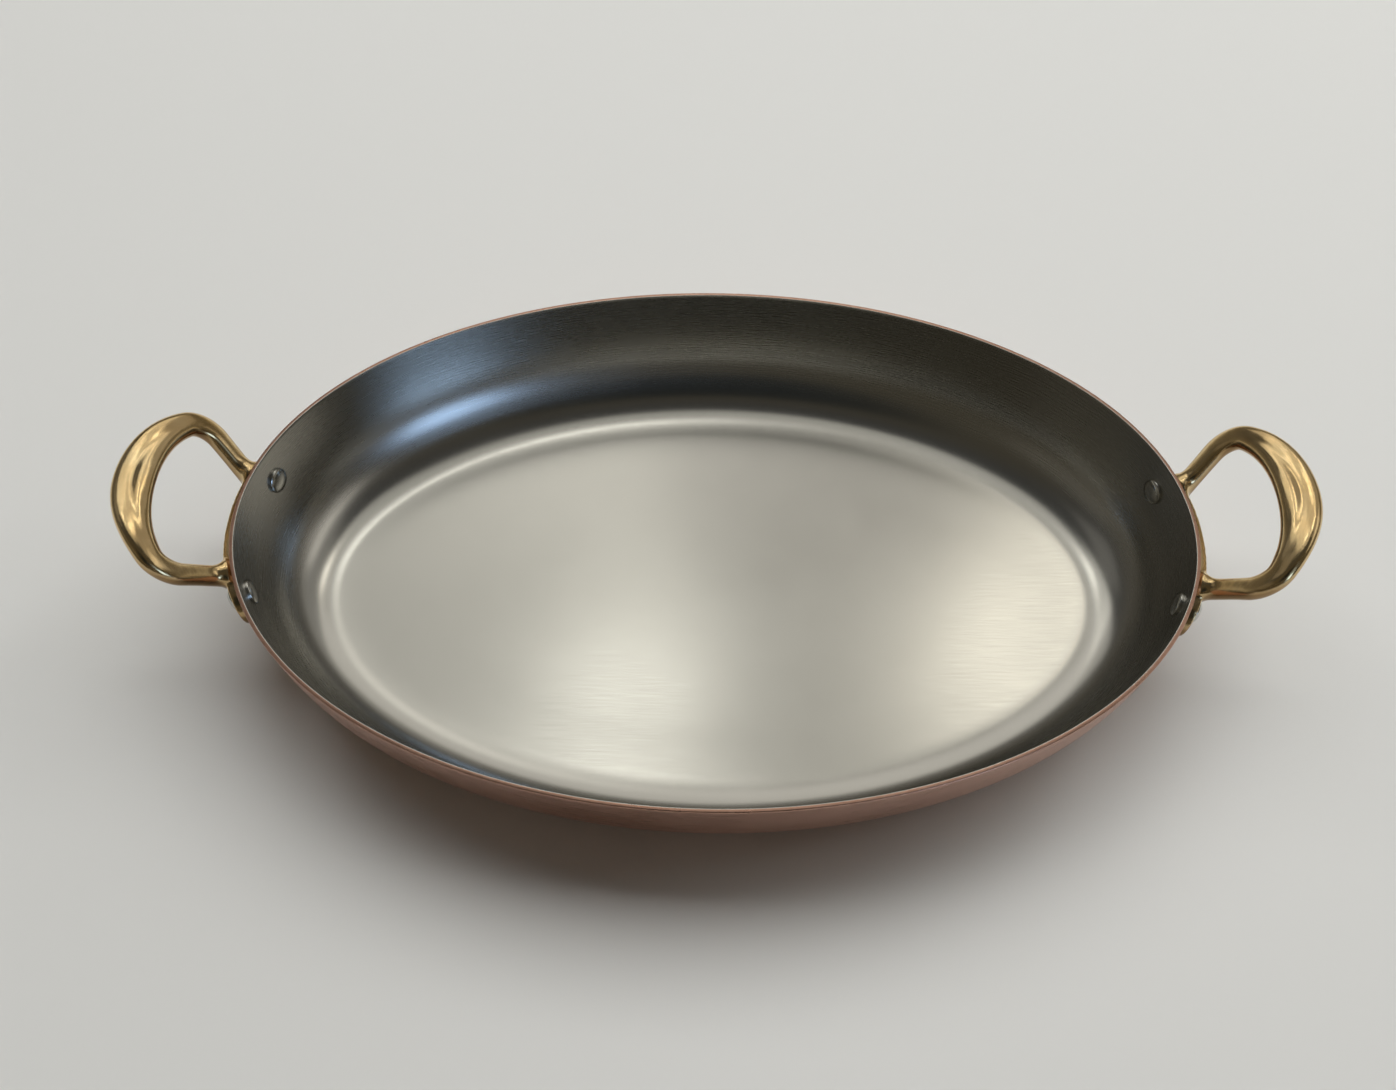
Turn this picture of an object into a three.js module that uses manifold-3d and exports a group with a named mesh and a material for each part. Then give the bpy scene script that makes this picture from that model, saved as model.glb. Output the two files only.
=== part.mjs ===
// An oval gratin pan: a copper body lined with a thin sheet of steel, and two cast handles,
// each held to the wall by two rivets. X runs from handle to handle, Z is up and the table
// is z = 0, under the middle of the pan. Lengths are in millimetres, angles in degrees.
import * as THREE from "three";
import { mergeVertices } from "three/addons/utils/BufferGeometryUtils.js";
import Module from "manifold-3d";

const wasm = await Module();
wasm.setup();

// Pan
const rimLength = 350; // outside length of the oval rim
const rimWidth = 230; // outside width of the oval rim
const panHeight = 48; // table to the top of the rim
const wallFlare = 14; // lean of the straight wall, from upright
const insideFillet = 22; // between floor and wall, inside
const copperThickness = 1.25;
const liningThickness = 0.25;

// Rivets
const rivetSpacing = 51; // between the two rivets of a handle, measured on the lining
const rivetDrop = 13.5; // rim to rivet, measured on the lining
const shankDiameter = 4.8;
const headDiameter = 9;
const headHeight = 2.1;
const headEdge = 0.5; // upright edge under the dome of a head

// Handle plate, which follows the wall
const plateThickness = 3.5;
const earRadius = 8.5; // of the rounded ends, round each rivet
const waistHeight = 12; // of the strip between the ears
const seatDepth = 0.3; // flat sunk into each ear for the rivet's outer head

// Handle loop, whose half is a straight leg, a corner arc and an arc of the grip
const legInset = 3.7; // the leg's foot stands this much nearer the middle than the rivet
const footDrop = 9.2; // rim to the middle of the leg's foot
const legRun = 14.5; // straight part of the leg, in plan
const legSplay = 38.7; // spread of the leg, in plan
const legRise = 52; // slope of the leg at its foot
const cornerRadius = 6.4; // in plan
const gripRadius = 48; // in plan
const gripRise = 20; // rim to the middle of the grip
const gripTilt = 11; // outward slope of the grip
const legWidth = 7.2;
const legHeight = 6.6;
const footFillet = 1.6; // where a leg meets the plate
const gripWidth = 14.6;
const gripHeight = 6.6;
const dishDepth = 1; // of the hollow along the top of the grip
const sectionPower = 2.3; // 2 makes the section an ellipse, and more makes it squarer

// Clearance between pieces that touch in use
const seatGap = 0.3;

// Fineness of the curved faces
const panSegments = 88;
const filletSteps = 6;
const loopSteps = 44;
const sectionSides = 20;
const roundSides = 16;
const domeSteps = 4;
const solveSteps = 30; // of the search for a place on the wall

// Sizes that follow from those above
const longRadius = rimLength / 2;
const shortRadius = rimWidth / 2;
const flare = THREE.MathUtils.degToRad(wallFlare);
const sheetThickness = copperThickness + liningThickness;
const outsideFillet = insideFillet + sheetThickness;
const filletInset =
  (outsideFillet + (panHeight - outsideFillet) * Math.sin(flare)) / Math.cos(flare);
const headRadius = headDiameter / 2;
const rivetHeight = panHeight - rivetDrop;
const plateFace = sheetThickness + seatGap + plateThickness; // lining to the plate's outer face
const up = new THREE.Vector3(0, 0, 1);
const along = new THREE.Vector3(0, 1, 0); // axis of a turned piece before it is placed

const materials = {
  copper: { color: 0xb87458, roughness: 0.3, metalness: 1 },
  steel: { color: 0xb4b2a8, roughness: 0.4, metalness: 1 },
  bronze: { color: 0xc9a35c, roughness: 0.2, metalness: 1 },
  rivet: { color: 0x8a8a86, roughness: 0.25, metalness: 1 },
};

// The outline of the rim moved in by inset, at plan angle t, with its outward normal.
function outline(t, inset) {
  const normal = new THREE.Vector2(
    shortRadius * Math.cos(t),
    longRadius * Math.sin(t),
  ).normalize();
  const point = new THREE.Vector2(longRadius * Math.cos(t), shortRadius * Math.sin(t));
  return { point: point.addScaledVector(normal, -inset), normal };
}

// How far the wall stands in from the outline of the rim, depth below its outer face.
function wallInset(height, depth) {
  return (panHeight - height) * Math.tan(flare) + depth / Math.cos(flare);
}

// A point of the wall at the right-hand end of the pan, with the wall's outward normal there.
function wallPlace(y, height, depth) {
  const inset = wallInset(height, depth);
  let t = 0;
  for (let i = 0; i < solveSteps; i++) {
    t = Math.asin((y + inset * outline(t, inset).normal.y) / shortRadius);
  }
  const { point, normal } = outline(t, inset);
  const lean = new THREE.Vector3(normal.x, normal.y, -Math.tan(flare)).normalize();
  return { point: new THREE.Vector3(point.x, point.y, height), normal: lean, t, inset };
}

// A closed geometry as a solid for joining and cutting.
function solidOf(geometry) {
  geometry.deleteAttribute("normal");
  geometry.deleteAttribute("uv");
  const merged = mergeVertices(geometry);
  const corners = [];
  for (let i = 0; i < merged.index.count; i += 3) {
    const [a, b, c] = [0, 1, 2].map((k) => merged.index.getX(i + k));
    if (a !== b && b !== c && c !== a) corners.push(a, b, c);
  }
  return new wasm.Manifold(
    new wasm.Mesh({
      numProp: 3,
      vertProperties: merged.getAttribute("position").array,
      triVerts: new Uint32Array(corners),
    }),
  );
}

function geometryOf(solid) {
  const mesh = solid.getMesh();
  const geometry = new THREE.BufferGeometry();
  geometry.setAttribute("position", new THREE.BufferAttribute(mesh.vertProperties, 3));
  geometry.setIndex(new THREE.BufferAttribute(mesh.triVerts, 1));
  geometry.computeVertexNormals();
  return geometry;
}

// A filled bowl whose surface lies depth below the outside of the pan, or outside it where
// depth is negative. It is turned round and then drawn out to the oval.
function bowl(depth, top) {
  const radius = outsideFillet - depth;
  const profile = [new THREE.Vector2(0, depth)];
  for (let i = 0; i <= filletSteps; i++) {
    const angle = (i / filletSteps) * (Math.PI / 2 - flare);
    profile.push(
      new THREE.Vector2(
        shortRadius - filletInset + radius * Math.sin(angle),
        outsideFillet - radius * Math.cos(angle),
      ),
    );
  }
  for (const height of top > panHeight ? [panHeight, top] : [panHeight]) {
    profile.push(new THREE.Vector2(shortRadius - wallInset(height, depth), height));
  }
  profile.push(new THREE.Vector2(0, top));
  const geometry = new THREE.LatheGeometry(profile, panSegments).rotateX(Math.PI / 2);
  const position = geometry.getAttribute("position");
  for (let i = 0; i < position.count; i++) {
    const [x, y] = [position.getX(i), position.getY(i)];
    const radiusHere = Math.hypot(x, y);
    const onAxis = radiusHere < seatGap;
    const { point } = outline(Math.atan2(y, x), shortRadius - radiusHere);
    position.setXY(i, onAxis ? 0 : point.x, onAxis ? 0 : point.y);
  }
  return solidOf(geometry);
}

// A cylinder along a place's normal, from one distance to another out of the place.
function bore(place, radius, from, to) {
  const geometry = new THREE.CylinderGeometry(radius, radius, to - from, roundSides);
  geometry.translate(0, (from + to) / 2, 0);
  geometry.applyQuaternion(new THREE.Quaternion().setFromUnitVectors(along, place.normal));
  geometry.translate(place.point.x, place.point.y, place.point.z);
  return solidOf(geometry);
}

// The two rivets of the right-hand handle; turned half round they are those of the left one.
const rivetPlaces = [-1, 1].map((side) =>
  wallPlace((side * rivetSpacing) / 2, rivetHeight, sheetThickness),
);
const halfTurn = new THREE.Quaternion().setFromAxisAngle(up, Math.PI);

function turned(place) {
  return {
    point: place.point.clone().applyQuaternion(halfTurn),
    normal: place.normal.clone().applyQuaternion(halfTurn),
  };
}

// One layer of the pan's wall and floor, with the four rivet holes.
function panLayer(outerDepth, innerDepth) {
  let layer = bowl(outerDepth, panHeight).subtract(bowl(innerDepth, panHeight + insideFillet));
  const past = 2 * sheetThickness + headHeight; // well clear of both faces
  for (const place of [...rivetPlaces, ...rivetPlaces.map(turned)]) {
    layer = layer.subtract(bore(place, shankDiameter / 2 + seatGap, -past, past));
  }
  return geometryOf(layer);
}

// Handle plate: the band just outside the wall, cut to an outline with two round ears.
const earPlace = rivetPlaces[1].point
  .clone()
  .addScaledVector(rivetPlaces[1].normal, plateFace - plateThickness / 2);

function platePrism() {
  const [earY, earZ] = [earPlace.y, earPlace.z];
  const top = earZ + earRadius;
  const waistSine = Math.max(-1, 1 - waistHeight / earRadius);
  const waistAngle = Math.PI - Math.asin(waistSine);
  const shape = new THREE.Shape();
  shape.moveTo(-earY, top);
  shape.absarc(-earY, earZ, earRadius, Math.PI / 2, Math.PI * 2 + Math.asin(waistSine), false);
  shape.absarc(earY, earZ, earRadius, waistAngle, Math.PI * 2 + Math.PI / 2, false);
  shape.closePath();
  const prism = new THREE.ExtrudeGeometry(shape, {
    depth: longRadius,
    bevelEnabled: false,
    curveSegments: roundSides,
  });
  // The outline's x and y become the pan's Y and Z, and its depth runs out along X.
  const frame = new THREE.Matrix4().makeBasis(along, up, new THREE.Vector3(1, 0, 0));
  prism.applyMatrix4(frame).translate(longRadius / 2, 0, 0);
  return solidOf(prism);
}

// Middle line of half the loop. The plan is drawn first, and the height follows the reach.
const foot = wallPlace(
  rivetSpacing / 2 - legInset,
  panHeight - footDrop,
  -seatGap - plateThickness,
).point;
const splay = THREE.MathUtils.degToRad(legSplay);
const cornerStart = new THREE.Vector2(
  foot.x + legRun * Math.cos(splay),
  foot.y + legRun * Math.sin(splay),
);
const cornerCentre = new THREE.Vector2(
  cornerStart.x + cornerRadius * Math.sin(splay),
  cornerStart.y - cornerRadius * Math.cos(splay),
);
const gripAngle = Math.asin(cornerCentre.y / (gripRadius - cornerRadius));
const gripCentreX = cornerCentre.x - (gripRadius - cornerRadius) * Math.cos(gripAngle);
const cornerTurn = Math.PI / 2 + splay - gripAngle;
const cornerLength = cornerRadius * cornerTurn;
const halfLength = legRun + cornerLength + gripRadius * gripAngle;
const reach = gripCentreX + gripRadius - foot.x;
const apexHeight = panHeight + gripRise;

function planPoint(s) {
  if (s <= legRun) {
    return new THREE.Vector2(foot.x + s * Math.cos(splay), foot.y + s * Math.sin(splay));
  }
  if (s <= legRun + cornerLength) {
    const angle = Math.PI / 2 + splay - (s - legRun) / cornerRadius;
    return new THREE.Vector2(Math.cos(angle), Math.sin(angle))
      .multiplyScalar(cornerRadius)
      .add(cornerCentre);
  }
  const angle = (halfLength - s) / gripRadius;
  return new THREE.Vector2(
    gripCentreX + gripRadius * Math.cos(angle),
    gripRadius * Math.sin(angle),
  );
}

// Height of the loop at a share of its reach, from the foot to the end of the grip, and its slope.
const rise = Math.tan(THREE.MathUtils.degToRad(legRise));
const tilt = Math.tan(THREE.MathUtils.degToRad(gripTilt));
const heightCurve = new THREE.CubicBezierCurve(
  new THREE.Vector2(0, foot.z),
  new THREE.Vector2(reach / 3, foot.z + (rise * reach) / 3),
  new THREE.Vector2((2 * reach) / 3, apexHeight - (tilt * reach) / 3),
  new THREE.Vector2(reach, apexHeight),
);

function loopPlace(s) {
  const plan = planPoint(Math.min(s, halfLength));
  const share = (plan.x - foot.x) / reach;
  const inWall = Math.min(share, 0) * reach;
  const height = heightCurve.getPoint(Math.max(share, 0)).y + rise * inWall;
  const slopeLine = heightCurve.getTangent(Math.max(share, 0));
  return {
    point: new THREE.Vector3(plan.x, plan.y, height),
    slope: slopeLine.y / slopeLine.x,
  };
}

// Half the section: wider and dished towards the middle of the grip, flared at the foot.
function sectionAt(s) {
  const swellStart = legRun / 2;
  const swell = THREE.MathUtils.smoothstep(s, swellStart, halfLength);
  const nearFoot = THREE.MathUtils.clamp(1 - s / footFillet, 0, 1);
  const flareOut = footFillet * (1 - Math.sqrt(1 - nearFoot * nearFoot));
  return {
    width: THREE.MathUtils.lerp(legWidth, gripWidth, swell) / 2 + flareOut,
    height: THREE.MathUtils.lerp(legHeight, gripHeight, swell) / 2 + flareOut,
    dish: dishDepth * swell,
  };
}

// One ring of the loop's surface. Stations run from the near foot (-1) to the far one (1).
function loopRing(station) {
  const embed = 2 * plateThickness;
  const s = halfLength - Math.abs(station) * (halfLength + embed);
  const side = station < 0 ? -1 : 1;
  const { point, slope } = loopPlace(s);
  const step = seatGap / 2;
  const ahead = loopPlace(Math.min(s + step, halfLength)).point;
  const behind = loopPlace(s - step).point;
  const tangent = s > halfLength - step ? along.clone().negate() : ahead.sub(behind);
  const normal = new THREE.Vector3(-slope, 0, 1);
  normal.addScaledVector(tangent, -normal.dot(tangent) / tangent.lengthSq()).normalize();
  const across = new THREE.Vector3().crossVectors(normal, tangent).normalize();
  const { width, height, dish } = sectionAt(s);
  const ring = [];
  for (let i = 0; i < sectionSides; i++) {
    const angle = (i / sectionSides) * Math.PI * 2;
    const [c, d] = [Math.cos(angle), Math.sin(angle)];
    const u = Math.sign(c) * Math.abs(c) ** (2 / sectionPower);
    const v = Math.sign(d) * Math.abs(d) ** (2 / sectionPower);
    const hollow = v > 0 ? dish * Math.cos((Math.PI / 2) * u) ** 2 : 0;
    const corner = point
      .clone()
      .addScaledVector(across, u * width)
      .addScaledVector(normal, v * height - hollow);
    corner.y *= side;
    ring.push(corner);
  }
  return ring;
}

// A closed skin over a row of rings, with a flat end on the first and the last.
function loft(rings) {
  const sides = rings[0].length;
  const corners = rings.flat();
  const faces = [];
  for (let i = 0; i + 1 < rings.length; i++) {
    for (let j = 0; j < sides; j++) {
      const [a, b] = [i * sides + j, i * sides + ((j + 1) % sides)];
      faces.push(a, b + sides, b, a, a + sides, b + sides);
    }
  }
  const last = (rings.length - 1) * sides;
  for (let j = 1; j + 1 < sides; j++) {
    faces.push(0, j, j + 1, last, last + j + 1, last + j);
  }
  const geometry = new THREE.BufferGeometry().setFromPoints(corners);
  geometry.setIndex(faces);
  return solidOf(geometry);
}

// A handle for the right-hand end: plate and loop in one casting, clear of the wall,
// with a hole for each shank and a flat seat for each outer head.
function handle() {
  const rings = [];
  for (let i = -loopSteps; i <= loopSteps; i += 2) {
    rings.push(loopRing(i / loopSteps));
  }
  let cast = platePrism()
    .intersect(bowl(-seatGap - plateThickness, panHeight))
    .add(loft(rings))
    .subtract(bowl(-seatGap, panHeight));
  for (const place of rivetPlaces) {
    const clear = headHeight + 2 * plateThickness;
    cast = cast
      .subtract(bore(place, shankDiameter / 2 + seatGap, 0, plateFace + clear))
      .subtract(bore(place, headRadius + seatGap, plateFace - seatDepth, plateFace + clear));
  }
  return geometryOf(cast);
}

// A rivet along its own axis, with zero on the lining and a domed head at each end.
function rivet(place) {
  // The lining is hollow here, so a flat head stands off it by this much in the middle.
  const bend =
    ((longRadius * Math.sin(place.t)) ** 2 + (shortRadius * Math.cos(place.t)) ** 2) ** 1.5 /
      (longRadius * shortRadius) -
    place.inset;
  const innerSeat = -(seatGap + headRadius ** 2 / (2 * bend));
  const outerSeat = plateFace - seatDepth + seatGap;
  const dome = [];
  for (let i = 0; i <= domeSteps; i++) {
    const angle = (i / domeSteps) * (Math.PI / 2);
    const crown = headEdge + (headHeight - headEdge) * Math.cos(angle);
    dome.push(new THREE.Vector2(headRadius * Math.sin(angle), crown));
  }
  const inner = dome.map((p) => new THREE.Vector2(p.x, innerSeat - p.y));
  const outer = dome.map((p) => new THREE.Vector2(p.x, outerSeat + p.y)).reverse();
  const profile = [
    ...inner,
    new THREE.Vector2(headRadius, innerSeat),
    new THREE.Vector2(shankDiameter / 2, innerSeat),
    new THREE.Vector2(shankDiameter / 2, outerSeat),
    new THREE.Vector2(headRadius, outerSeat),
    ...outer,
  ];
  return geometryOf(solidOf(new THREE.LatheGeometry(profile, roundSides)));
}

function piece(name, geometry, finish) {
  const mesh = new THREE.Mesh(geometry, new THREE.MeshStandardMaterial(finish));
  mesh.name = name;
  return mesh;
}

const pan = new THREE.Group();
pan.add(piece("copper_body", panLayer(0, copperThickness), materials.copper));
pan.add(piece("steel_lining", panLayer(copperThickness, sheetThickness), materials.steel));

const handleGeometry = handle();
for (const [end, turn] of [
  ["right", 0],
  ["left", Math.PI],
]) {
  const fitting = new THREE.Group();
  fitting.rotation.z = turn;
  fitting.add(piece(`${end}_handle`, handleGeometry, materials.bronze));
  for (const place of rivetPlaces) {
    // "front" is the side towards -Y, whichever end the handle is on.
    const front = place.point.y < 0 === (turn === 0);
    const name = `${end}_${front ? "front" : "back"}_rivet`;
    const fastener = piece(name, rivet(place), materials.rivet);
    fastener.position.copy(place.point);
    fastener.quaternion.setFromUnitVectors(along, place.normal);
    fitting.add(fastener);
  }
  pan.add(fitting);
}

export default pan;
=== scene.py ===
import math

import bmesh
import bpy
from mathutils import Matrix, Vector


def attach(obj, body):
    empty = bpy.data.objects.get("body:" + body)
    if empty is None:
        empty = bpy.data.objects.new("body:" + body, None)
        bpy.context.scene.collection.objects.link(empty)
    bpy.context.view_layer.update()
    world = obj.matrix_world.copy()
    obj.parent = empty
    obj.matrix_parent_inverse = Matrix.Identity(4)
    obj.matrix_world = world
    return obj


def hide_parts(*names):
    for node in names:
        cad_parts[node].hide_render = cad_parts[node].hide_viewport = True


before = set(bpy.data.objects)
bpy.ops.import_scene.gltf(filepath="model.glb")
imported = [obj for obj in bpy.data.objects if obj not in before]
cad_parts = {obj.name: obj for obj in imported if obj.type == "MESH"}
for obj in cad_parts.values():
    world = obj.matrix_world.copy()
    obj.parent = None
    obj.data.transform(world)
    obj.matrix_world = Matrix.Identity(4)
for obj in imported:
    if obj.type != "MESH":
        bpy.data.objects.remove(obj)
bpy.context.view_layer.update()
print("packed frame loaded")

scene = bpy.context.scene
mm = 0.001
mergeGap = 0.0005 * mm  # points this close become one
hair = 0.001 * mm
nearby = 0.01 * mm  # how close a point lies to a ring, an axis or a plane to count as on it


photoView = {
    "target": (-6.1 * mm, 22.2 * mm, 0.0),
    "distance": 560.5 * mm,
    "pitch": 54.84,  # degrees below the horizon
    "yaw": -0.58,
    "roll": 0.29,
    "lens": 36.14,  # lens and sensor in millimetres
    "sensor": 36.0,
    "clip": (0.01, 50),
}


def addCamera():
    pitch, yaw, roll = (math.radians(photoView[k]) for k in ("pitch", "yaw", "roll"))
    heading = Vector((math.sin(yaw), math.cos(yaw), 0))
    ahead = heading * math.cos(pitch) - Vector((0, 0, math.sin(pitch)))
    level = Vector((math.cos(yaw), -math.sin(yaw), 0))
    upright = level.cross(ahead)
    right = math.cos(roll) * level + math.sin(roll) * upright
    top = math.cos(roll) * upright - math.sin(roll) * level
    data = bpy.data.cameras.new("photoCamera")
    data.lens = photoView["lens"]
    data.sensor_width = photoView["sensor"]
    data.sensor_fit = "HORIZONTAL"
    data.clip_start, data.clip_end = photoView["clip"]
    camera = bpy.data.objects.new("photoCamera", data)
    turn = Matrix((right, top, -ahead)).transposed().to_4x4()
    place = Vector(photoView["target"]) - ahead * photoView["distance"]
    camera.matrix_world = Matrix.Translation(place) @ turn
    scene.collection.objects.link(camera)
    scene.camera = camera


addCamera()
print("camera placed")


# Edges that turn by more than the sharp angle, in degrees, stay crisp.
def finishPiece(name, bm, material, nodes, sharpAngle=32):
    mesh = bpy.data.meshes.new(name)
    bm.to_mesh(mesh)
    bm.free()
    mesh.shade_smooth()
    mesh.set_sharp_from_angle(angle=math.radians(sharpAngle))
    piece = bpy.data.objects.new(name, mesh)
    scene.collection.objects.link(piece)
    mesh.materials.append(material)
    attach(piece, "root")
    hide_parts(*nodes)


# Spins an open line of points round the Z axis into a closed skin.
def spinClosed(bm, points, steps):
    verts = [bm.verts.new(p) for p in points]
    edges = [bm.edges.new(pair) for pair in zip(verts, verts[1:])]
    bmesh.ops.spin(
        bm, geom=verts + edges, cent=(0, 0, 0), axis=(0, 0, 1),
        angle=math.tau, steps=steps, use_merge=True,
    )
    bmesh.ops.remove_doubles(bm, verts=bm.verts, dist=mergeGap)
    bmesh.ops.recalc_face_normals(bm, faces=bm.faces)


def turnAround(bm, turn):
    matrix = Matrix.Rotation(turn, 3, "Z")
    bmesh.ops.rotate(bm, cent=(0, 0, 0), matrix=matrix, verts=bm.verts)


# Places something at a point with its Z axis along the given direction.
def facing(place, outward):
    return Matrix.Translation(place) @ outward.to_track_quat("Z", "Y").to_matrix().to_4x4()


def smoothStep(value, low, high):
    share = min(max((value - low) / (high - low), 0), 1)
    return share * share * (3 - 2 * share)


class Nodes:
    def __init__(self, tree):
        self.tree = tree

    def feed(self, socket, value):
        if isinstance(value, bpy.types.NodeSocket):
            self.tree.links.new(value, socket)
        else:
            socket.default_value = value

    def node(self, kind, inputs=(), **settings):
        made = self.tree.nodes.new("ShaderNode" + kind)
        for key, value in settings.items():
            setattr(made, key, value)
        for key, value in dict(inputs).items():
            self.feed(made.inputs[key], value)
        return made

    def spread(self, value, span, result=(0, 1), **settings):
        inputs = {
            "Value": value,
            "From Min": span[0], "From Max": span[1],
            "To Min": result[0], "To Max": result[1],
        }
        return self.node("MapRange", inputs, **settings).outputs["Result"]

    def mix(self, share, first, second):
        return self.node("Mix", {0: share, 6: first, 7: second}, data_type="RGBA").outputs[2]

    def math(self, operation, first, second=0.0):
        return self.node("Math", {0: first, 1: second}, operation=operation).outputs[0]

    def parts(self, vector):
        return self.node("SeparateXYZ", {0: vector}).outputs


class Finish(Nodes):
    toneSpan = (0.35, 0.65)  # share of a noise's range that goes from the first tone to the second
    roughSpan = (0.3, 0.7)  # and from the first roughness to the second

    def __init__(self, name, sockets):
        self.material = bpy.data.materials.new(name)
        self.material.use_nodes = True
        super().__init__(self.material.node_tree)
        self.shader = self.tree.nodes["Principled BSDF"]
        for socket, value in sockets.items():
            self.into(socket, value)
        self.place = self.node("TexCoord").outputs["Object"]

    def into(self, socket, value):
        self.feed(self.shader.inputs[socket], value)

    def noise(self, scale, detail=3.0, roughness=0.55):
        return self.speckle(self.place, scale, detail, roughness)

    # Noise drawn out: the scale is given for each axis.
    def grain(self, scale, turn=(0, 0, 0), detail=3.0, roughness=0.55, vector=None):
        if vector is None:
            vector = self.place
        inputs = {"Vector": vector, "Scale": scale, "Rotation": turn}
        return self.speckle(self.node("Mapping", inputs).outputs["Vector"], 1.0, detail, roughness)

    def speckle(self, vector, scale, detail, roughness):
        inputs = {"Vector": vector, "Scale": scale, "Detail": detail, "Roughness": roughness}
        return self.node("TexNoise", inputs).outputs["Fac"]

    def tones(self, noise, pair):
        return self.mix(self.spread(noise, self.toneSpan), *pair)

    def rough(self, noise, pair):
        return self.spread(noise, self.roughSpan, pair)

    def bump(self, height, strength, distance, normal=None):
        inputs = {"Height": height, "Strength": strength, "Distance": distance}
        if normal is not None:
            inputs["Normal"] = normal
        return self.node("Bump", inputs).outputs["Normal"]


# In the finishes, scales are per metre, bumps are a strength and a depth,
# and a cloud is how far the roughness sways either way.
steelLook = {
    "wallSpan": (3 * mm, 9 * mm),  # heights between which the floor's grain becomes the wall's
    "floorGrain": (60, 2600, 2600),  # along the pan
    "wallGrain": (90, 90, 2600),  # round the pan
    "cloudScale": 22.0,
    "tones": ((0.51, 0.50, 0.465, 1), (0.53, 0.52, 0.485, 1)),
    "scuffGrain": (90, 420, 90),
    "scuffTurn": (0, 0, 0.1),
    "scuffSpan": (0.70, 0.78),
    "scuffTone": (0.62, 0.61, 0.58, 1),
    "scuffShare": 0.10,
    "roughness": (0.19, 0.22),
    "cloud": 0.01,
    "wallRoughness": 0.07,  # added on the wall
    "bump": (0.01, 0.02 * mm),
    "wallBump": 0.0025,
}


def satinSteel():
    look = steelLook
    f = Finish("satinSteel", {"Metallic": 1.0})
    wall = f.spread(f.parts(f.place)["Z"], look["wallSpan"])
    floorGrain = f.math("MULTIPLY", f.grain(look["floorGrain"]), f.math("SUBTRACT", 1.0, wall))
    wallGrain = f.math("MULTIPLY", f.grain(look["wallGrain"]), wall)
    grain = f.math("ADD", floorGrain, wallGrain)
    cloud = f.noise(look["cloudScale"])
    scuff = f.grain(look["scuffGrain"], look["scuffTurn"], detail=4.0, roughness=0.6)
    mark = f.math("MULTIPLY", f.spread(scuff, look["scuffSpan"]), look["scuffShare"])
    f.into("Base Color", f.mix(mark, f.tones(cloud, look["tones"]), look["scuffTone"]))
    sway = f.rough(cloud, (-look["cloud"], look["cloud"]))
    rough = f.math("ADD", f.rough(grain, look["roughness"]), sway)
    f.into("Roughness", f.math("ADD", rough, f.math("MULTIPLY", wall, look["wallRoughness"])))
    strength, depth = look["bump"]
    f.into("Normal", f.bump(grain, f.spread(wall, (0, 1), (strength, look["wallBump"])), depth))
    return f.material


copperLook = {
    "grain": (70, 70, 2200),
    "cloudScale": 16.0,
    "tones": ((0.63, 0.37, 0.275, 1), (0.70, 0.44, 0.34, 1)),
    "rimSpan": (46.9 * mm, 47.6 * mm),  # heights over which the cut rim's tone sets in
    "mottleScale": 420.0,
    "mottleSpan": (0.42, 0.60),
    "mottleShare": (0.25, 1),
    "rimTone": (0.60, 0.35, 0.26, 1),
    "roughness": (0.26, 0.34),
    "cloud": 0.03,
    "bump": (0.05, 0.02 * mm),
}


def satinCopper():
    look = copperLook
    f = Finish("satinCopper", {"Metallic": 1.0})
    grain = f.grain(look["grain"])
    cloud = f.noise(look["cloudScale"], 4.0)
    mottle = f.noise(look["mottleScale"], 4.0, 0.7)
    rim = f.spread(f.parts(f.place)["Z"], look["rimSpan"])
    edge = f.math("MULTIPLY", rim, f.spread(mottle, look["mottleSpan"], look["mottleShare"]))
    f.into("Base Color", f.mix(edge, f.tones(cloud, look["tones"]), look["rimTone"]))
    sway = f.rough(cloud, (-look["cloud"], look["cloud"]))
    f.into("Roughness", f.math("ADD", f.rough(grain, look["roughness"]), sway))
    f.into("Normal", f.bump(grain, *look["bump"]))
    return f.material


bronzeLook = {
    "gripMiddle": 156 * mm,  # middle of each grip's curve, from the pan's middle
    "roundScale": 4 * mm,  # length of pattern for a turn of one radian about it
    "strokes": (1500, 1500, 600),
    "grooves": (420, 900, 160),
    "cloudScale": 60.0,
    "waveScale": 130.0,
    "tones": ((0.72, 0.51, 0.25, 1), (0.80, 0.61, 0.34, 1)),
    # painted shade: a dark brown tone laid on the downward faces near the feet and inside the grip,
    # standing in for shade and dark reflections
    "paintedShadeTone": (0.25, 0.15, 0.07, 1),
    "paintedShadeShare": 0.85,
    "underSpan": (0.15, 0.58),  # Z of the normal, from painted shade to none
    "footSpan": (190 * mm, 204 * mm),  # distance from the pan's middle, from painted shade to none
    "insideSpan": (40.5 * mm, 43.5 * mm),  # distance from the grip's middle, likewise
    "roughness": (0.15, 0.24),
    "cloud": 0.02,
    "waveBump": (0.25, 0.25 * mm),
    "grooveBump": (0.5, 0.10 * mm),
    "strokeBump": (0.10, 0.02 * mm),
}


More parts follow.
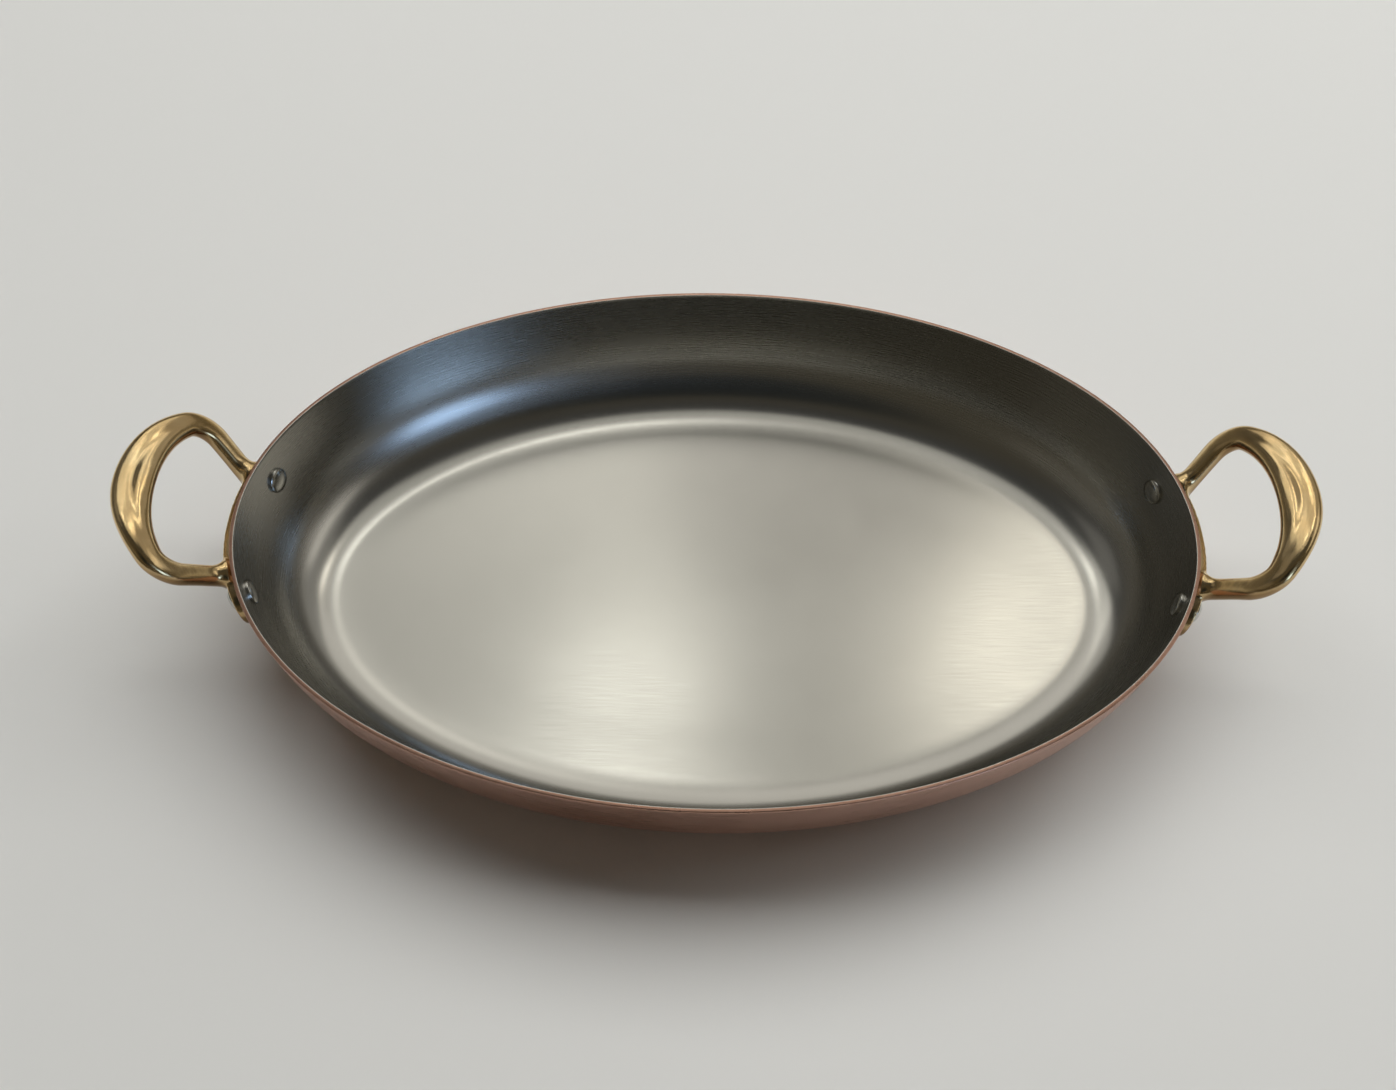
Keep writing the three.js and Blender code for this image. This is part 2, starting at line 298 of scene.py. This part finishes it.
def castBronze():
    look = bronzeLook
    f = Finish("castBronze", {"Metallic": 1.0})
    place = f.parts(f.place)
    fromPan = f.math("ABSOLUTE", place["X"])
    sideways = f.math("SUBTRACT", fromPan, look["gripMiddle"])
    endways = f.math("ABSOLUTE", place["Y"])
    squares = f.math("ADD", f.math("POWER", sideways, 2.0), f.math("POWER", endways, 2.0))
    fromMiddle = f.math("SQRT", squares)
    around = f.math("MULTIPLY", f.math("ARCTAN2", place["Y"], sideways), look["roundScale"])
    along = f.node("CombineXYZ", {0: fromMiddle, 1: around, 2: place["Z"]}).outputs[0]
    strokes = f.grain(look["strokes"], vector=along)
    grooves = f.grain(look["grooves"], detail=2.0, vector=along)
    cloud = f.noise(look["cloudScale"], 4.0)
    waves = f.noise(look["waveScale"], 2.0)
    # painted shade: faces turned downwards, near the feet and on the inside of the grip, are darkened
    # in the base colour
    under = f.spread(f.parts(f.node("TexCoord").outputs["Normal"])["Z"], look["underSpan"], (1, 0))
    nearFoot = f.spread(fromPan, look["footSpan"], (1, 0))
    inside = f.spread(fromMiddle, look["insideSpan"], (1, 0))
    paintedShade = f.math("MULTIPLY", under, f.math("MAXIMUM", nearFoot, inside))
    share = f.math("MULTIPLY", paintedShade, look["paintedShadeShare"])
    f.into("Base Color", f.mix(share, f.tones(cloud, look["tones"]), look["paintedShadeTone"]))
    sway = f.rough(cloud, (-look["cloud"], look["cloud"]))
    f.into("Roughness", f.math("ADD", f.rough(strokes, look["roughness"]), sway))
    hammered = f.bump(grooves, *look["grooveBump"], f.bump(waves, *look["waveBump"]))
    f.into("Normal", f.bump(strokes, *look["strokeBump"], hammered))
    return f.material


rivetLook = {
    "cloudScale": 260.0,
    "tones": ((0.56, 0.555, 0.52, 1), (0.66, 0.655, 0.62, 1)),
    "scratches": (900, 2600, 900),
    "scratchTurn": (0.4, 0.9, 0.3),
    "roughness": (0.13, 0.24),
    "bump": (0.12, 0.03 * mm),
}


def polishedRivet():
    look = rivetLook
    f = Finish("polishedRivet", {"Metallic": 1.0})
    scratch = f.grain(look["scratches"], look["scratchTurn"])
    f.into("Base Color", f.tones(f.noise(look["cloudScale"]), look["tones"]))
    f.into("Roughness", f.rough(scratch, look["roughness"]))
    f.into("Normal", f.bump(scratch, *look["bump"]))
    return f.material


pan = {
    "halfLength": 175 * mm,
    "halfWidth": 115 * mm,
    "height": 48 * mm,
    "outsideFillet": 23.5 * mm,
    "filletTurn": math.radians(42),  # where the fillet eases into the wall
    "rimSlope": math.tan(math.radians(6)),  # lean of the wall towards the rim
    "easing": 10.1 * mm,  # height over which the wall straightens
    "softStart": 14 * mm,  # width over which the floor turns up into the fillet
    "dishing": (20 * mm, 0.032),  # width of the floor's rising outer ring, and its slope
    "softHeights": (1 * mm, 30 * mm),  # their lift of the sheet fades out between these
    "copper": 1.25 * mm,
    "steel": 0.25 * mm,
    "copperRim": (0.4 * mm, 4),  # rounding of the outer edge, and its segments
    "steelRim": (0.12 * mm, 2),  # and of the inner edge
    "turns": 360,
    "filletRings": 20,
    "wallRings": 34,
    "floorRings": 5,
    "softRings": 24,
    "settling": (6, 12),  # rounds until a depth, and a place on the oval, are found
}
pan["filletTop"] = pan["outsideFillet"] * (1 - math.cos(pan["filletTurn"]))
pan["addedSlope"] = 1 / math.tan(pan["filletTurn"]) - pan["rimSlope"]
pan["sheet"] = pan["copper"] + pan["steel"]


# Point of the rim's oval moved in by the inset, and the outward direction there.
def ovalPlace(turn, inset):
    length, width = pan["halfLength"], pan["halfWidth"]
    normal = Vector((width * math.cos(turn), length * math.sin(turn))).normalized()
    place = Vector((length * math.cos(turn), width * math.sin(turn)))
    return place - normal * inset, normal


def wallLean(height):
    above = height - pan["filletTop"]
    return math.atan(pan["rimSlope"] + pan["addedSlope"] * math.exp(-above / pan["easing"]))


# Distance in from the rim's outline, and lean, of the wall at a height and at a depth
# below its outside.
def wallInset(height, depth):
    outer = height
    for step in range(pan["settling"][0]):
        outer = height - depth * math.sin(wallLean(outer))
    low, high = (math.exp((pan["filletTop"] - z) / pan["easing"]) for z in (outer, pan["height"]))
    inset = (pan["height"] - outer) * pan["rimSlope"] + pan["addedSlope"] * pan["easing"] * (low - high)
    return inset + depth * math.cos(wallLean(outer)), wallLean(outer)


filletWidth = pan["outsideFillet"] * math.sin(pan["filletTurn"])
pan["floorEdge"] = pan["halfWidth"] - (filletWidth + wallInset(pan["filletTop"], 0)[0])


# Point of the wall at a distance from the long axis, and the outward direction there.
def wallPlace(y, height, depth):
    inset, lean = wallInset(height, depth)
    turn = 0.0
    for step in range(pan["settling"][1]):
        turn = math.asin((y + inset * ovalPlace(turn, inset)[1].y) / pan["halfWidth"])
    place, normal = ovalPlace(turn, inset)
    outward = Vector((normal.x, normal.y, -math.tan(lean))).normalized()
    return Vector((place.x, place.y, height)), outward


# Lift of the sheet at a distance past the floor's edge: the floor rises a little in its
# outer ring, and the curve of the fillet sets in gradually. Each term is the sum of a
# slope that grows or fades evenly.
def softLift(past):
    half = pan["softStart"] / 2
    near = half - min(abs(past), half)
    start = near**3 / (12 * half * pan["outsideFillet"])
    if past > 0:
        start = half**2 / (6 * pan["outsideFillet"]) - start
    width, slope = pan["dishing"]
    inside = min(max(past, -width), 0) + width
    outside = min(max(past, 0), width / 2)
    return start + slope * (inside**2 / (2 * width) + outside - outside**2 / width)


# The line from the middle of the floor to the rim, at a depth below the outside of the pan.
def sheetLine(depth):
    edge = pan["floorEdge"]
    flat = edge - pan["dishing"][0]
    line = [(flat * i / pan["floorRings"], depth) for i in range(pan["floorRings"])]
    line += [(flat + (edge - flat) * i / pan["softRings"], depth) for i in range(pan["softRings"])]
    bend = pan["outsideFillet"] - depth
    for i in range(pan["filletRings"] + 1):
        angle = pan["filletTurn"] * i / pan["filletRings"]
        line.append((edge + bend * math.sin(angle), pan["outsideFillet"] - bend * math.cos(angle)))
    low = line[-1][1]
    for i in range(1, pan["wallRings"] + 1):
        height = low + (pan["height"] - low) * i / pan["wallRings"]
        line.append((pan["halfWidth"] - wallInset(height, depth)[0], height))
    lifts = [softLift(r - edge) * (1 - smoothStep(z, *pan["softHeights"])) for r, z in line]
    return [(r, z + lift) for (r, z), lift in zip(line, lifts)]


# The round pan becomes oval: its floor is drawn in proportion, and its wall keeps its width.
def drawToOval(bm):
    edge = pan["floorEdge"]
    for v in bm.verts:
        radius = math.hypot(v.co.x, v.co.y)
        if radius < nearby:
            v.co.x = v.co.y = 0
            continue
        place = ovalPlace(math.atan2(v.co.y, v.co.x), pan["halfWidth"] - max(radius, edge))[0]
        v.co.x, v.co.y = place * min(radius / edge, 1)


# A closed sheet between two depths, its rim rounded at the first or the second of them.
def panSheet(outer, inner, roundedLine, rounding):
    bm = bmesh.new()
    lines = [sheetLine(outer), sheetLine(inner)]
    spinClosed(bm, [(r, 0, z) for r, z in lines[0] + lines[1][::-1]], pan["turns"])
    rimRadius = lines[roundedLine][-1][0]
    rim = {
        v for v in bm.verts
        if abs(v.co.z - pan["height"]) < hair
        and abs(math.hypot(v.co.x, v.co.y) - rimRadius) < nearby
    }
    ring = [e for e in bm.edges if all(v in rim for v in e.verts)]
    size, segments = rounding
    bmesh.ops.bevel(
        bm, geom=ring, offset=size, segments=segments,
        profile=0.5, affect="EDGES", material=-1,
    )
    drawToOval(bm)
    return bm


finishPiece(
    "copperBody", panSheet(0, pan["copper"], 0, pan["copperRim"]),
    satinCopper(), ["copper_body"],
)
finishPiece(
    "steelLining", panSheet(pan["copper"], pan["sheet"], 1, pan["steelRim"]),
    satinSteel(), ["steel_lining"],
)
print("pan built")


rivet = {
    "spacing": 51 * mm,
    "height": 34.5 * mm,
    "head": 4.8 * mm,
    "shank": 2.4 * mm,
    "rises": (1.9 * mm, 3.0 * mm),  # inner and outer head
    "edge": 0.5 * mm,  # upright part of a head
    "squareness": 2.1,  # 2 is a plain dome
    "innerSeat": 0.12 * mm,  # from the lining to the inner head
    "outerSeat": 5.1 * mm,  # from the lining to the outer head
    "steps": 64,
    "domeSteps": 16,
}


def domePoints(seat, full, way):
    power = 2 / rivet["squareness"]
    points = [(rivet["shank"], seat), (rivet["head"], seat)]
    for i in range(rivet["domeSteps"] + 1):
        angle = math.pi / 2 * i / rivet["domeSteps"]
        out = max(math.cos(angle), 0) ** power
        rise = rivet["edge"] + (full - rivet["edge"]) * math.sin(angle) ** power
        points.append((rivet["head"] * out, seat + way * rise))
    return points


def rivetMesh(place, outward):
    bm = bmesh.new()
    inner = domePoints(-rivet["innerSeat"], rivet["rises"][0], -1)[::-1]
    outer = domePoints(rivet["outerSeat"], rivet["rises"][1], 1)
    spinClosed(bm, [(r, 0, z) for r, z in inner + outer], rivet["steps"])
    bmesh.ops.transform(bm, matrix=facing(place, outward), verts=bm.verts)
    return bm


rivetSteel = polishedRivet()
for side in (-1, 1):
    place, outward = wallPlace(side * rivet["spacing"] / 2, rivet["height"], pan["sheet"])
    for end, turn in (("right", 0), ("left", math.pi)):
        bm = rivetMesh(place, outward)
        turnAround(bm, turn)
        where = "front" if (side < 0) == (turn == 0) else "back"
        finishPiece(f"{end}{where.title()}Rivet", bm, rivetSteel, [f"{end}_{where}_rivet"])
print("rivets built")


handle = {
    "seat": 0.05 * mm,  # between wall and plate
    "plate": 3.95 * mm,
    "ear": 8.5 * mm,  # radius of the plate's ends, round the rivets
    "earSteps": 48,
    "waist": 12 * mm,
    "crown": 0.18,  # how far the middle of the plate rises above its ends
    "crownSpan": (17 * mm, 28 * mm),  # distances from its middle over which that fades
    "cuts": (  # across the plate, so that it bends: axis, first, last and step
        (1, -35 * mm, 35 * mm, 1.0 * mm),
        (2, 20 * mm, 45 * mm, 1.5 * mm),
    ),
    "foot": (21.8 * mm, 38.8 * mm),  # its distance from the middle, and its height
    "footOut": 3.8 * mm,  # from the wall to the middle of the foot
    "footFillet": 2.8 * mm,
    "buried": 6 * mm,  # the leg goes on into the plate
    "legRun": 13.6 * mm,
    "splay": math.radians(38.7),
    "legRise": math.tan(math.radians(52)),
    "corner": 6.4 * mm,  # radius from leg to grip
    "grip": 48 * mm,  # radius of the grip
    "apex": 68 * mm,
    "tilt": math.tan(math.radians(11)),
    "leg": (7.6 * mm, 6.8 * mm),  # width and thickness
    "middle": (14.6 * mm, 6.6 * mm),
    "squareness": 2.3,  # of the section, 2 is an ellipse
    "dish": (0.7 * mm, 0.14, 0.7),  # depth, middle and half width, as shares of the half section
    "ridge": 0.13 * mm,  # lengthwise ridges left in the dish
    "ridgeWaves": (11, 60, 1.2),  # across the half section, per metre along, and start
    "stations": 120,
    "sides": 56,
    "voxel": 0.42 * mm,
    "smoothings": 10,
    "rootReach": 9 * mm,  # from the feet, where the hollows are smoothed further
    "rootSmoothings": 36,
}

splayWay = Vector((math.cos(handle["splay"]), math.sin(handle["splay"])))
footPlace = wallPlace(*handle["foot"], -handle["footOut"])[0]
cornerStart = footPlace.xy + handle["legRun"] * splayWay
cornerMiddle = cornerStart + handle["corner"] * Vector((splayWay.y, -splayWay.x))
gripAngle = math.asin(cornerMiddle.y / (handle["grip"] - handle["corner"]))
gripMiddleX = cornerMiddle.x - (handle["grip"] - handle["corner"]) * math.cos(gripAngle)
cornerLength = handle["corner"] * (math.pi / 2 + handle["splay"] - gripAngle)
halfLoop = handle["legRun"] + cornerLength + handle["grip"] * gripAngle
reach = gripMiddleX + handle["grip"] - footPlace.x


# Half the loop seen from above, at a length from its foot: leg, corner, then grip.
def loopPlan(s):
    if s <= handle["legRun"]:
        return footPlace.xy + s * splayWay
    if s <= handle["legRun"] + cornerLength:
        angle = math.pi / 2 + handle["splay"] - (s - handle["legRun"]) / handle["corner"]
        return cornerMiddle + handle["corner"] * Vector((math.cos(angle), math.sin(angle)))
    angle = (halfLoop - s) / handle["grip"]
    return Vector((gripMiddleX, 0)) + handle["grip"] * Vector((math.cos(angle), math.sin(angle)))


# Height and slope of the loop at a share of its reach: steep at the foot, nearly level at the grip.
def loopHeight(share):
    low, high = footPlace.z, handle["apex"]
    if share < 0:
        return low + handle["legRise"] * share * reach, handle["legRise"]
    a, b = low + handle["legRise"] * reach / 3, high - handle["tilt"] * reach / 3
    rest = 1 - share
    height = low * rest**3 + 3 * a * share * rest**2 + 3 * b * share**2 * rest + high * share**3
    slope = 3 * ((a - low) * rest**2 + 2 * (b - a) * share * rest + (high - b) * share**2) / reach
    return height, slope


def loopPlace(s):
    plan = loopPlan(min(s, halfLoop))
    height, slope = loopHeight((plan.x - footPlace.x) / reach)
    return Vector((plan.x, plan.y, height)), slope


# The loop's middle line at a length from its foot, with its upward and sideways directions.
def loopFrame(s):
    place, slope = loopPlace(s)
    step = 0.1 * mm
    if s > halfLoop - step:
        tangent = Vector((0, -1, 0))
    else:
        tangent = (loopPlace(s + step)[0] - loopPlace(s - step)[0]).normalized()
    normal = Vector((-slope, 0, 1))
    normal = (normal - tangent * normal.dot(tangent)).normalized()
    return place, normal, normal.cross(tangent).normalized()


def sectionPoint(s, angle):
    swell = smoothStep(s, handle["legRun"] / 2, halfLoop)
    sizes = zip(handle["leg"], handle["middle"])
    width, height = ((leg * (1 - swell) + middle * swell) / 2 for leg, middle in sizes)
    power = 2 / handle["squareness"]
    u, v = (math.copysign(abs(t) ** power, t) for t in (math.cos(angle), math.sin(angle)))
    if v <= 0:
        return u * width, v * height
    depth, centre, span = handle["dish"]
    dish = math.cos(math.pi / 2 * min(max((u - centre) / span, -1), 1)) ** 2
    across, along, start = handle["ridgeWaves"]
    ridges = math.sin(across * u + start + along * (halfLoop - s)) * math.cos(math.pi / 2 * u) ** 2
    return u * width, v * height - swell * (depth * dish + handle["ridge"] * ridges)


# A circle of points extruded from foot to foot, each ring set in the section's form,
# flared where it comes near the plate.
def addLoop(bm):
    number = bm.verts.layers.int.new("side")
    ring = bmesh.ops.create_circle(bm, segments=handle["sides"], radius=1)["verts"]
    for i, v in enumerate(ring):
        v[number] = i
    edges = list({e for v in ring for e in v.link_edges})
    startEdges = edges
    for k in range(handle["stations"] + 1):
        station = 2 * k / handle["stations"] - 1
        s = halfLoop - abs(station) * (halfLoop + handle["buried"])
        if k:
            made = bmesh.ops.extrude_edge_only(bm, edges=edges)["geom"]
            ring = [g for g in made if isinstance(g, bmesh.types.BMVert)]
            edges = [
                e for e in made
                if isinstance(e, bmesh.types.BMEdge) and all(v in ring for v in e.verts)
            ]
        place, normal, across = loopFrame(s)
        for v in ring:
            u, h = sectionPoint(s, math.tau * v[number] / handle["sides"])
            spoke = across * u + normal * h
            v.co = place + spoke
            back, outward = wallPlace(v.co.y, min(v.co.z, pan["height"]), 0)
            past = (v.co - back).dot(outward) - handle["seat"] - handle["plate"]
            nearFoot = min(max(1 - past / handle["footFillet"], 0), 1)
            flare = handle["footFillet"] * (1 - math.sqrt(1 - nearFoot * nearFoot))
            v.co += spoke.normalized() * flare
            if s < 0 and v.co.z < pan["height"]:
                v.co.x = max(v.co.x, back.x + handle["seat"])  # the buried end stops at the wall
            if station < 0:
                v.co.y = -v.co.y
    bmesh.ops.contextual_create(bm, geom=startEdges)
    bmesh.ops.contextual_create(bm, geom=edges)


# The points, edges and faces that lie in the plane where the plate is drawn.
def drawn(parts):
    return [g for g in parts if all(abs(v.co.x) < nearby for v in getattr(g, "verts", [g]))]


# The plate is drawn flat, cut into strips and bent onto the wall.
def addPlate(bm):
    place, outward = wallPlace(rivet["spacing"] / 2, rivet["height"], pan["sheet"])
    ear = place + outward * (rivet["outerSeat"] - handle["plate"] / 2)
    waistTurn = math.asin(handle["waist"] / handle["ear"] - 1)
    start = bm.verts.new((0, ear.y, ear.z + handle["ear"]))
    arc = bmesh.ops.spin(
        bm, geom=[start], cent=(0, ear.y, ear.z), axis=(1, 0, 0),
        angle=waistTurn - math.pi * 1.5, steps=handle["earSteps"],
    )
    last = next(g for g in arc["geom_last"] if isinstance(g, bmesh.types.BMVert))
    for v in (start, last):
        middle = bmesh.ops.extrude_vert_indiv(bm, verts=[v])["verts"][0]
        middle.co.y = 0
    half = drawn((*bm.verts, *bm.edges))
    bmesh.ops.mirror(bm, geom=half, axis="Y", merge_dist=hair)
    bmesh.ops.contextual_create(bm, geom=drawn(bm.edges))
    for axis, low, high, step in handle["cuts"]:
        normal = Vector([float(i == axis) for i in range(3)])
        for k in range(int((high - low) / step)):
            flat = drawn((*bm.verts, *bm.edges, *bm.faces))
            cut = normal * (low + k * step)
            bmesh.ops.bisect_plane(bm, geom=flat, dist=hair, plane_co=cut, plane_no=normal)
    faces = drawn(bm.faces)
    back = {v for f in faces for v in f.verts}
    for v in back:
        crown = handle["crown"] * (1 - smoothStep(abs(v.co.y), *handle["crownSpan"]))
        v.co.z += max(v.co.z - ear.z, 0) * crown
    made = bmesh.ops.extrude_face_region(bm, geom=faces)["geom"]
    front = [g for g in made if isinstance(g, bmesh.types.BMVert)]
    for group, depth in ((front, handle["seat"] + handle["plate"]), (back, handle["seat"])):
        for v in group:
            place, outward = wallPlace(v.co.y, v.co.z, 0)
            v.co = place + outward * depth


def smoothed(bm, verts):
    bmesh.ops.smooth_vert(
        bm, verts=verts, factor=0.5, use_axis_x=True, use_axis_y=True, use_axis_z=True
    )


def isHollow(v):
    pull = sum(((e.other_vert(v).co - v.co) for e in v.link_edges), Vector())
    return pull.dot(v.normal) > 0


# Plate and loop become one casting: they are remeshed together and smoothed, the hollows
# round the feet most.
def handleMesh():
    bm = bmesh.new()
    addPlate(bm)
    addLoop(bm)
    bmesh.ops.recalc_face_normals(bm, faces=bm.faces)
    rough = bpy.data.meshes.new("handleBlank")
    bm.to_mesh(rough)
    bm.free()
    blank = bpy.data.objects.new("handleBlank", rough)
    scene.collection.objects.link(blank)
    remesh = blank.modifiers.new("cast", "REMESH")
    remesh.mode = "VOXEL"
    remesh.voxel_size = handle["voxel"]
    cast = blank.evaluated_get(bpy.context.evaluated_depsgraph_get()).to_mesh()
    bm = bmesh.new()
    bm.from_mesh(cast)
    bpy.data.objects.remove(blank)
    bpy.data.meshes.remove(rough)
    feet = [Vector((footPlace.x, side * footPlace.y, footPlace.z)) for side in (-1, 1)]
    rooted = [v for v in bm.verts if min((v.co - f).length for f in feet) < handle["rootReach"]]
    for k in range(handle["smoothings"]):
        smoothed(bm, bm.verts)
    for k in range(handle["rootSmoothings"]):
        bm.normal_update()
        smoothed(bm, [v for v in rooted if isHollow(v)])
    return bm


# The left handle is the right one turned round.
bronze = castBronze()
finishPiece("rightHandle", handleMesh(), bronze, ["right_handle"], 180)
bm = bmesh.new()
bm.from_mesh(bpy.data.objects["rightHandle"].data)
turnAround(bm, math.pi)
finishPiece("leftHandle", bm, bronze, ["left_handle"], 180)
print("handles built")


studio = {
    "tableHalfSize": 4,
    "tableDrop": 0.05 * mm,  # below the pan's underside
    "tableColour": (0.80, 0.80, 0.77, 1),
    "tableRoughness": 0.6,
    "horizon": (0.40, 0.38, 0.32, 1),  # room colour at the height of the table
    "lowSky": (0.12, 0.11, 0.09, 1),  # above it
    "highSky": (0.055, 0.055, 0.053, 1),  # overhead
    "front": (0.075, 0.066, 0.048, 1),  # towards -Y
    "above": (0.018, 0.020, 0.020, 1),  # and over the camera
    "overCamera": (0, -0.643, 0.766),
    "bands": {  # what each of these goes by, and where it starts and is full
        "lowSky": ("Z", (0.08, 0.20)),
        "highSky": ("Z", (0.30, 0.62)),
        "front": ("Y", (0.10, -0.45)),
        "above": ("overCamera", (0.90, 0.975)),
    },
    "lampDistance": 3.5,
}


def addTable():
    bm = bmesh.new()
    bmesh.ops.create_grid(bm, x_segments=1, y_segments=1, size=studio["tableHalfSize"])
    bmesh.ops.translate(bm, vec=(0, 0, -studio["tableDrop"]), verts=bm.verts)
    mesh = bpy.data.meshes.new("table")
    bm.to_mesh(mesh)
    bm.free()
    table = bpy.data.objects.new("table", mesh)
    scene.collection.objects.link(table)
    sockets = {"Roughness": studio["tableRoughness"], "Base Color": studio["tableColour"]}
    mesh.materials.append(Finish("paleTable", sockets).material)


# Each lamp: azimuth from +X and elevation, half its width and height as shares of its
# distance, radiance, tint, and whether metal mirrors it; the others light the table.
lamps = {
    "warmWindow": (64.5, 56, 0.045, 0.10, 1.6, (1, 0.95, 0.83), True),
    "backWindow": (77, 66.2, 0.213, 0.213, 0.41, (1, 0.98, 0.90), True),
    "leftWindow": (108, 55, 0.165, 0.18, 0.54, (1, 0.985, 0.91), True),
    "hotSpot": (98.5, 61.5, 0.06, 0.028, 1.9, (1, 1, 0.94), True),
    "lowWindow": (94, 41.3, 0.30, 0.19, 0.40, (1, 0.97, 0.90), True),
    "sideWall": (48.7, 43, 0.742, 0.309, 0.20, (1, 0.96, 0.88), True),
    "rightWall": (10, 40, 0.35, 0.12, 0.45, (1, 0.96, 0.88), True),
    "leftWall": (152, 48, 0.25, 0.20, 0.12, (1, 0.96, 0.88), True),
    "leftRoom": (-160, 27, 0.35, 0.20, 0.05, (1, 0.96, 0.88), True),
    "blueWindow": (-50, 18, 0.15, 0.20, 2.1, (0.43, 0.64, 1.0), True),
    "blueUpper": (-50, 39, 0.14, 0.14, 0.30, (0.43, 0.65, 1.0), True),
    "tableBack": (86, 61, 0.75, 0.38, 2.05, (1, 1, 1), False),
    "tableSide": (26, 30, 0.40, 0.35, 1.30, (1, 1, 1), False),
}


def addLamps():
    distance = studio["lampDistance"]
    for name, (azimuth, elevation, wide, high, radiance, tint, mirrored) in lamps.items():
        a, e = math.radians(azimuth), math.radians(elevation)
        outward = Vector((math.cos(a) * math.cos(e), math.sin(a) * math.cos(e), math.sin(e)))
        data = bpy.data.lights.new(name, "AREA")
        data.shape = "RECTANGLE"
        data.size, data.size_y = 2 * distance * wide, 2 * distance * high
        data.energy = 4 * radiance * data.size * data.size_y  # the power for that radiance
        data.color = tint
        lamp = bpy.data.objects.new(name, data)
        lamp.visible_camera = False
        lamp.visible_glossy = mirrored
        lamp.visible_diffuse = not mirrored
        lamp.matrix_world = facing(outward * distance, outward)
        scene.collection.objects.link(lamp)


# The room: bands by height, a plain front and a dark patch over the camera.
def addRoom():
    world = bpy.data.worlds.new("studio")
    world.use_nodes = True
    room = Nodes(world.node_tree)
    way = room.node("TexCoord").outputs["Generated"]
    over = room.node("VectorMath", {0: way, 1: studio["overCamera"]}, operation="DOT_PRODUCT")
    height = room.parts(way)
    measures = {"Z": height["Z"], "Y": height["Y"], "overCamera": over.outputs["Value"]}
    shade = studio["horizon"]
    for name, (measure, span) in studio["bands"].items():
        share = room.spread(measures[measure], span, interpolation_type="SMOOTHSTEP")
        shade = room.mix(share, shade, studio[name])
    room.feed(room.tree.nodes["Background"].inputs["Color"], shade)
    scene.world = world


addRoom()
scene.view_settings.view_transform = "Standard"
addTable()
addLamps()
print("table and lamps placed")
